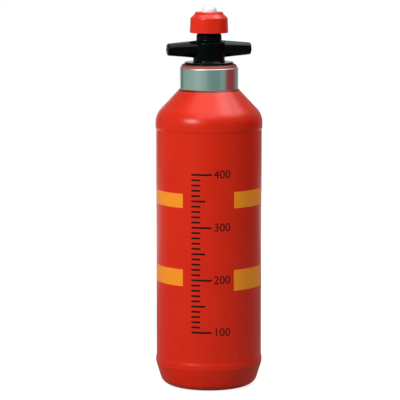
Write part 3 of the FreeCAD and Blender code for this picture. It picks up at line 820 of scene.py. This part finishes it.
@dataclass
class ReturnSpring:
    """The compression spring under the knob, its end turns closed up.

    It is split half way up: the lower half rides on the valve cap, the upper half on the stem.
    """

    radius_mm: float = 5.0
    wire_radius_mm: float = 0.45
    turns: float = 4.5
    closed_turns: float = 0.75
    closed_pitch_mm: float = 1.0
    length_mm: float = 7.2
    clear_mm: float = 0.05
    travel_mm: float = 2.0
    around: int = 12
    per_turn: int = 40

    def build(self) -> None:
        """Wind both halves, let each ride on its own body, and hide the CAD spring."""
        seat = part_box("guide_bush")[1].z
        steel = DRAWN_STEEL.material()
        half_mm = 0.5 * self.length_mm
        middle = 0.5 * self.turns
        halves = (
            ("return_spring_lower", (0, middle), Body.VALVE_CAP, "stem_press", seat),
            ("return_spring_upper", (middle, self.turns), Body.STEM, "knob_rise", seat + half_mm * MM),
        )
        for name, span, body, joint, anchor in halves:
            piece = piece_from(name, self.wind(seat, span), steel, body)
            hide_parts("return_spring")
            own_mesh(piece)

    def height_at(self, turn: float) -> float:
        """Give how far the wire has risen after some turns.

        Args:
            turn: The turns from the wire's first point.

        Returns:
            The height above the first point, in millimetres.
        """
        active = self.turns - 2 * self.closed_turns
        ends = 2 * (self.wire_radius_mm + self.clear_mm + self.closed_turns * self.closed_pitch_mm)
        rise = self.length_mm - ends
        low = min(turn, self.closed_turns) * self.closed_pitch_mm
        middle = min(max(turn - self.closed_turns, 0), active) * rise / active
        high = max(turn - self.closed_turns - active, 0) * self.closed_pitch_mm
        return low + middle + high

    def section(self, form: bmesh.types.BMesh, turn: float, seat: float) -> list[bmesh.types.BMVert]:
        """Set the points of the wire's round section at one place of the winding.

        Args:
            form: The geometry to add to.
            turn: The turns from the wire's first point.
            seat: The height of the face the spring stands on, in metres.

        Returns:
            The points, in order round the wire.
        """
        angle = turn * math.tau
        out = Vector((math.cos(angle), math.sin(angle), 0))
        centre = out * self.radius_mm
        centre.z = self.height_at(turn) + self.wire_radius_mm + self.clear_mm
        ring = []
        for step in range(self.around):
            bend = step * math.tau / self.around
            offset = out * math.cos(bend) + Vector((0, 0, math.sin(bend)))
            point = (centre + offset * self.wire_radius_mm) * MM + Vector((0, 0, seat))
            ring.append(form.verts.new(point))
        return ring

    def wind(self, seat: float, span: tuple[float, float]) -> bmesh.types.BMesh:
        """Sweep the wire's round section along a stretch of the winding.

        Args:
            seat: The height of the face the spring stands on, in metres.
            span: The turns at which the stretch starts and ends.

        Returns:
            The closed tube.
        """
        form = bmesh.new()
        start, end = span
        count = round((end - start) * self.per_turn)
        rings = [self.section(form, start + index * (end - start) / count, seat)
                 for index in range(count + 1)]
        for before, after in zip(rings, rings[1:]):
            for step in range(self.around):
                on = (step + 1) % self.around
                form.faces.new((before[step], after[step], after[on], before[on]))
        form.faces.new(rings[0])
        form.faces.new(rings[-1][::-1])
        bmesh.ops.recalc_face_normals(form, faces=form.faces)
        return form


@dataclass
class PouringValve:
    """The screw-in valve: moulding, knob, stem and the seals and steel inside."""

    rubber_nodes: tuple[str, ...] = ("cap_gasket", "stem_o_ring", "seal_disc")
    steel_nodes: tuple[str, ...] = ("seal_plate", "seal_screw", "spring_washer")

    def build(self) -> None:
        """Dress the valve's CAD nodes."""
        dress("valve_body", GLOSS_NYLON.material())
        dress("lock_knob", GLOSS_POLYPROPYLENE.material())
        dress("valve_stem", WHITE_ACETAL.material())
        dress("guide_bush", NATURAL_NYLON.material())
        rubber = NITRILE_RUBBER.material()
        for node in self.rubber_nodes:
            dress(node, rubber)
        steel = DRAWN_STEEL.material()
        for node in self.steel_nodes:
            dress(node, steel)


@dataclass(frozen=True)
class Lamp:
    """One soft box, aimed at a height on the bottle's axis, in metres, degrees and watts.

    A sheen-only one shows in the gloss and adds no other light.
    """

    name: str
    azimuth: float
    elevation: float
    distance: float
    width: float
    height: float
    power: float
    aim: float = 0.14
    sheen_only: bool = False

    def build(self) -> None:
        """Make the area lamp."""
        lamp = bpy.data.lights.new(self.name, "AREA")
        lamp.shape = "RECTANGLE"
        lamp.size = self.width
        lamp.size_y = self.height
        lamp.energy = self.power
        back = toward(self.azimuth, self.elevation)
        holder = bpy.data.objects.new(self.name, lamp)
        holder.visible_diffuse = not self.sheen_only
        holder.location = Vector((0, 0, self.aim)) + back * self.distance
        holder.rotation_euler = back.to_track_quat("Z", "Y").to_euler()
        bpy.context.scene.collection.objects.link(holder)


@dataclass(frozen=True)
class Card:
    """A soft-edged coloured card in the room, seen from the bottle, in degrees.

    The fade gives the shares of the half angle at which the edge starts and is full.
    """

    azimuth: float
    half_angle: float
    colour: str
    elevation: float = -4.0
    fade: tuple[float, float] = (1.3, 0.5)

    def cosine(self, share: float) -> float:
        """Give the cosine of a share of the half angle."""
        return math.cos(math.radians(share * self.half_angle))


@dataclass
class Studio:
    """A white paper under soft boxes, with a white wall behind it and a dim grey-green room round it.

    Lengths are in metres. The two behind fields say how far back a mirrored ray has to go to show white:
    on the paper as a length, and on the wall as the share of the ray's direction that points back.
    """

    floor_radius: float = 0.9
    floor_segments: int = 96
    floor_colour: str = "#a2a2a2"
    floor_lift: float = 0.81
    lift_span: tuple[float, float] = (0.05, 0.40)
    paper_behind: tuple[float, float] = (0.25, 0.60)
    wall_behind: tuple[float, float] = (0.94, 0.995)
    room_colour: str = "#86aba3"
    room_strength: float = 0.85
    cards: tuple[Card, ...] = (
        Card(azimuth=-84, half_angle=42, colour="#96b5ac"),
        Card(azimuth=-158, half_angle=22, colour="#64837b"),
        Card(azimuth=8, half_angle=26, colour="#719490"),
        Card(azimuth=114, half_angle=18, colour="#80857c"),
        Card(azimuth=82, half_angle=27, colour="#983140"),
    )
    lamps: tuple[Lamp, ...] = (
        Lamp("key_soft_box", azimuth=-52, elevation=27, distance=1.3,
             width=0.46, height=0.26, power=13.2),
        Lamp("overhead_sheen", azimuth=77, elevation=89.5, distance=0.8,
             width=1.6, height=0.8, power=14.4, aim=0.18, sheen_only=True),
        Lamp("right_soft_box", azimuth=78, elevation=58, distance=0.8,
             width=0.6, height=0.44, power=4.2, aim=0.20),
    )

    def build(self) -> None:
        """Lay the floor, set the world and hang the lamps."""
        self.lay_floor()
        self.set_world()
        for lamp in self.lamps:
            lamp.build()

    def lay_floor(self) -> None:
        """Lay the pale round floor that the bottle stands on."""
        form = bmesh.new()
        bmesh.ops.create_circle(form, cap_ends=True, segments=self.floor_segments, radius=self.floor_radius)
        mesh = bpy.data.meshes.new("floor")
        form.to_mesh(mesh)
        form.free()
        mesh.materials.append(self.floor_material())
        floor = bpy.data.objects.new("floor", mesh)
        bpy.context.scene.collection.objects.link(floor)

    def floor_material(self) -> bpy.types.Material:
        """Make the floor's matt paper, lifted to white where it is the background.

        Returns:
            The material.
        """
        material, tree = blank_material("paper_white_matt")
        place = add_node(tree, "TexCoord").outputs["Object"]
        across = add_node(tree, "SeparateXYZ", inputs={"Vector": place})
        reach = add_node(tree, "VectorMath", {"operation": "LENGTH"}, {0: place})
        lift = add_node(tree, "MapRange", {"interpolation_type": "SMOOTHSTEP"}, {
            "Value": reach.outputs["Value"], "From Min": self.lift_span[0], "From Max": self.lift_span[1],
            "To Min": self.floor_lift, "To Max": 1.0})
        shown = self.background_rays(tree, across.outputs["Y"], self.paper_behind)
        strength = add_node(tree, "Math", {"operation": "MULTIPLY"}, {0: shown, 1: lift.outputs["Result"]})
        paper = add_node(tree, "BsdfDiffuse", inputs={"Color": linear(self.floor_colour)})
        glow = add_node(tree, "Emission", inputs={"Strength": strength.outputs[0]})
        both = add_node(tree, "AddShader", inputs={0: paper.outputs[0], 1: glow.outputs[0]})
        add_node(tree, "OutputMaterial", inputs={"Surface": both.outputs[0]})
        return material

    def background_rays(self, tree: bpy.types.NodeTree, depth: bpy.types.NodeSocket,
                        span: tuple[float, float]) -> bpy.types.NodeSocket:
        """Give 1 where a ray shows the background: seen anywhere, or mirrored from behind the bottle.

        Args:
            tree: The node tree to add to.
            depth: How far behind the bottle the ray ends.
            span: The depths between which the mirrored background comes in.

        Returns:
            The output socket.
        """
        path = add_node(tree, "LightPath")
        behind = add_node(tree, "MapRange", {"interpolation_type": "SMOOTHSTEP"}, {
            "Value": depth, "From Min": span[0], "From Max": span[1]})
        mirrored = add_node(tree, "Math", {"operation": "MAXIMUM"}, {
            0: path.outputs["Is Glossy Ray"], 1: path.outputs["Is Transmission Ray"]})
        swept = add_node(tree, "Math", {"operation": "MULTIPLY"}, {
            0: mirrored.outputs[0], 1: behind.outputs["Result"]})
        shown = add_node(tree, "Math", {"operation": "MAXIMUM"}, {
            0: swept.outputs[0], 1: path.outputs["Is Camera Ray"]})
        return shown.outputs[0]

    def set_world(self) -> None:
        """Set the white wall behind the bottle and the room in front of it."""
        world = bpy.data.worlds.new("studio_world")
        world.use_nodes = True
        tree = world.node_tree
        tree.nodes.clear()
        heading = add_node(tree, "TexCoord").outputs["Generated"]
        across = add_node(tree, "SeparateXYZ", inputs={"Vector": heading})
        white = self.background_rays(tree, across.outputs["Y"], self.wall_behind)
        room = add_node(tree, "Background", inputs={
            "Color": self.room_tint(tree, heading), "Strength": self.room_strength})
        wall = add_node(tree, "Background", inputs={"Color": WHITE, "Strength": 1.0})
        mix = add_node(tree, "MixShader", inputs={0: white, 1: room.outputs[0], 2: wall.outputs[0]})
        add_node(tree, "OutputWorld", inputs={"Surface": mix.outputs[0]})
        bpy.context.scene.world = world

    def room_tint(self, tree: bpy.types.NodeTree, heading: bpy.types.NodeSocket) -> bpy.types.NodeSocket:
        """Give the room's colour with the cards in it.

        Args:
            tree: The world's node tree.
            heading: The direction looked in.

        Returns:
            The colour.
        """
        tint = linear(self.room_colour)
        for card in self.cards:
            facing = add_node(tree, "VectorMath", {"operation": "DOT_PRODUCT"}, {
                0: heading, 1: toward(card.azimuth, card.elevation)})
            inside = add_node(tree, "MapRange", {"interpolation_type": "SMOOTHSTEP"}, {
                "Value": facing.outputs["Value"], "From Min": card.cosine(card.fade[0]),
                "From Max": card.cosine(card.fade[1])})
            tint = add_node(tree, "Mix", {"data_type": "RGBA"}, {
                MIX_SHARE: inside.outputs["Result"], MIX_FIRST: tint,
                MIX_SECOND: linear(card.colour)}).outputs[MIX_RESULT]
        return tint


@dataclass
class PhotoCamera:
    """The photograph's view, as fitted to the rims' ellipses, in metres and degrees."""

    azimuth: float = -13.0
    distance: float = 1.350
    height: float = 0.3047
    pitch: float = 7.96
    yaw: float = 0.235
    focal_px: float = 2183.0
    frame_px: float = 400.0
    sensor_mm: float = 36.0
    clip: tuple[float, float] = (0.05, 50.0)

    def build(self) -> None:
        """Make the camera and hand it to the scene."""
        camera = bpy.data.cameras.new("photo_camera")
        camera.sensor_width = self.sensor_mm
        camera.lens = self.focal_px * self.sensor_mm / self.frame_px
        camera.clip_start, camera.clip_end = self.clip
        turn = math.radians(self.azimuth)
        holder = bpy.data.objects.new("photo_camera", camera)
        holder.location = (self.distance * math.sin(turn), -self.distance * math.cos(turn), self.height)
        holder.rotation_euler = (
            math.radians(QUARTER_TURN - self.pitch), 0, turn + math.radians(self.yaw))
        bpy.context.scene.collection.objects.link(holder)
        bpy.context.scene.camera = holder


def main() -> None:
    """Build the pieces in order, then the studio and the camera."""
    logging.basicConfig(level=logging.INFO, format="%(message)s")
    bpy.context.scene.view_settings.view_transform = "Standard"
    for part in (PrintedShell(), PouringValve(), ReturnSpring(), Studio(), PhotoCamera()):
        part.build()
        LOG.info("finished %s", type(part).__name__)


if __name__ == "__main__":
    main()
